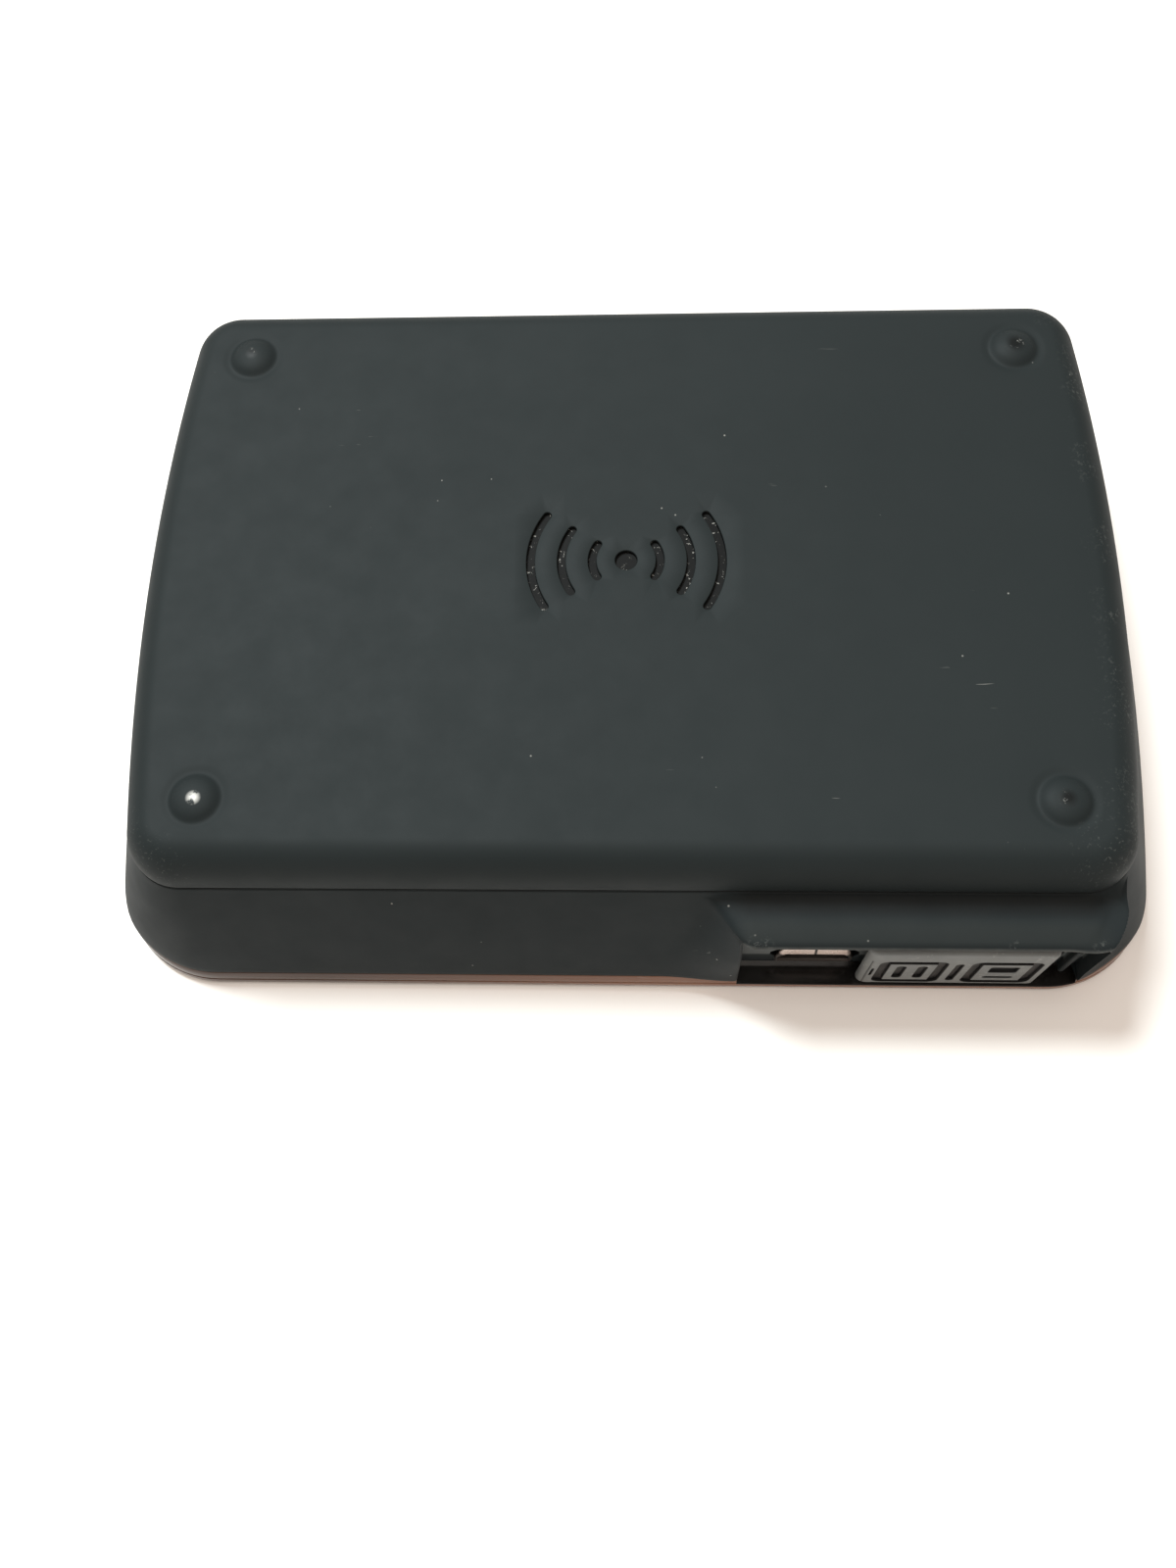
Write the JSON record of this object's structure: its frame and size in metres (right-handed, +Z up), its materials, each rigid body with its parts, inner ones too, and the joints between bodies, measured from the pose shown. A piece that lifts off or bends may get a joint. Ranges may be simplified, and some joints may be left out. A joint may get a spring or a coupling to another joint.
{
  "type": "mobile hotspot",
  "caption": "Pocket mobile hotspot lying face down, with a snap-off back cover over a battery bay and a sliding door across its two data sockets.",
  "frame": {"origin": "centre of the front face, which is the face that the device lies on", "axes": "+X along the long side to the right, +Y away from the side with the ports, +Z up through the back cover"},
  "size_m": [0.107, 0.0744, 0.0213],
  "materials": {
    "cover_coat": "soft-touch coating, charcoal, satin",
    "housing_coat": "soft-touch coating, dark charcoal",
    "front_gloss": "polished black",
    "display_glass": "tinted clear window",
    "screen": "dark panel",
    "door_plastic": "fine moulded grey",
    "side_key": "fine moulded",
    "key_gloss": "polished black",
    "stamped_steel": "tinned, stamped",
    "usb_steel": "nickel plated",
    "screw_steel": "zinc plated",
    "contact_gold": "gold flash",
    "antenna_foil": "copper foil",
    "flex_film": "amber film",
    "board_green": "solder mask",
    "chip_black": "moulded resin",
    "black_plastic": "moulded",
    "grey_carrier": "moulded",
    "white_plastic": "moulded",
    "clear_plastic": "clear light guide",
    "silicone": "translucent silicone",
    "black_foam": "closed-cell foam",
    "thermal_gel": "soft pad",
    "tape_black": "double-sided tape",
    "battery_wrap": "satin case",
    "label_film": "blank printed film",
    "card_plastic": "blank card"
  },
  "bodies": {
    "housing": {"front_frame": "front_gloss", "display_lens": "display_glass", "lens_adhesive": "tape_black", "display_gasket": "black_foam", "display_panel": "screen", "display_bracket": "stamped_steel", "display_flex": "flex_film", "flex_connector": "white_plastic", "keypad_membrane": "silicone", "key_domes": "stamped_steel", "key_board": "board_green", "key_flex": "flex_film", "light_pipe": "clear_plastic", "status_led": "white_plastic", "main_housing": "housing_coat", "housing_screws": "screw_steel", "main_board": "board_green", "modem_shield": "stamped_steel", "radio_shield": "stamped_steel", "power_shield": "stamped_steel", "modem_chip": "chip_black", "processor_chip": "chip_black", "radio_chip": "chip_black", "power_chip": "chip_black", "thermal_pad": "thermal_gel", "micro_usb_shell": "usb_steel", "micro_usb_tongue": "black_plastic", "usb_a_shell": "usb_steel", "usb_a_tongue": "white_plastic", "power_switch": "black_plastic", "battery_connector": "black_plastic", "card_holder": "stamped_steel", "bay_label": "label_film", "main_antenna": "antenna_foil", "diversity_antenna": "antenna_foil", "wifi_antenna": "antenna_foil", "antenna_carrier_left": "grey_carrier", "antenna_carrier_right": "grey_carrier", "wifi_antenna_carrier": "grey_carrier", "antenna_springs": "contact_gold"},
    "cover": {"back_cover": "cover_coat", "battery_cushion": "black_foam"},
    "battery": {"battery_pack": "battery_wrap", "battery_contacts": "contact_gold", "battery_label": "label_film"},
    "door": {"port_door": "door_plastic"},
    "left_key": {"key_left": "key_gloss"},
    "home_key": {"key_home": "key_gloss"},
    "right_key": {"key_right": "key_gloss"},
    "side_key": {"power_key": "side_key"},
    "card": {"sim_card": "card_plastic"}
  },
  "joints": [
    {"name": "port_door_slide", "type": "slide", "parent": "housing", "child": "door", "axis": [1, 0, 0], "range_m": [-0.0114, 0.004]},
    {"name": "cover_lift", "type": "slide", "parent": "housing", "child": "cover", "axis": [0, 0, 1], "range_m": [0, 0.04]},
    {"name": "battery_lift", "type": "slide", "parent": "housing", "child": "battery", "axis": [0, 0, 1], "range_m": [0, 0.02]},
    {"name": "card_slide", "type": "slide", "parent": "housing", "child": "card", "axis": [0, 1, 0], "range_m": [0, 0.013]},
    {"name": "key_left_press", "type": "slide", "parent": "housing", "child": "left_key", "axis": [0, 0, 1], "range_m": [0, 0.00035], "stiffness_N_per_m": 1500},
    {"name": "key_home_press", "type": "slide", "parent": "housing", "child": "home_key", "axis": [0, 0, 1], "range_m": [0, 0.00035], "stiffness_N_per_m": 1500},
    {"name": "key_right_press", "type": "slide", "parent": "housing", "child": "right_key", "axis": [0, 0, 1], "range_m": [0, 0.00035], "stiffness_N_per_m": 1500},
    {"name": "power_key_press", "type": "slide", "parent": "housing", "child": "side_key", "axis": [0, -1, 0], "range_m": [0, 0.00035], "stiffness_N_per_m": 1500}
  ],
  "couplings": [
    {"joint": "battery_lift", "follows": "cover_lift", "ratio": 0.5}
  ]
}
